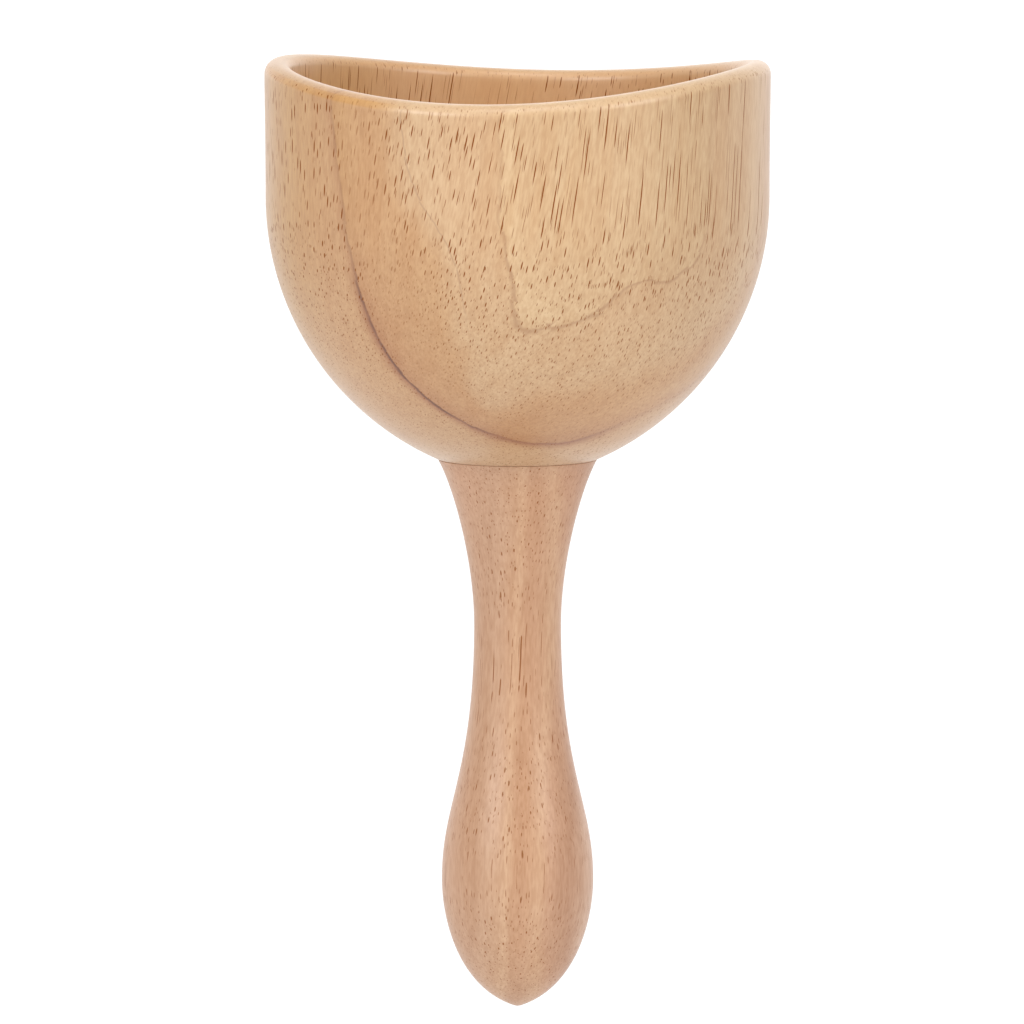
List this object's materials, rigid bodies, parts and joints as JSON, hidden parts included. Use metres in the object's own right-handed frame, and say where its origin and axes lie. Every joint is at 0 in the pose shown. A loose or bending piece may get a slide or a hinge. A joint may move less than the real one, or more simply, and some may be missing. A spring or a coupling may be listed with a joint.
{
  "type": "wooden suction massage cup",
  "caption": "Hand-held turned-wood suction massage cup: a deep round cup with a saddle-shaped rim on a waisted handle that swells into a bulb with a blunt point.",
  "frame": {"origin": "on the turning axis at the handle's waist, its narrowest section, where the fingers close round it", "axes": "+Z along the turning axis from the handle's tip to the cup's mouth; the rim is highest at +X and -X and lowest at +Y and -Y"},
  "size_m": [0.1044, 0.1042, 0.1968],
  "materials": {
    "cup_wood": "satin clear lacquer over pale open-pored hardwood",
    "handle_wood": "satin clear lacquer over pinkish open-pored hardwood",
    "dowel_wood": "bare sanded hardwood"
  },
  "bodies": {
    "root": {"cup": "cup_wood", "handle": "handle_wood", "joint_dowel": "dowel_wood"}
  },
  "joints": []
}
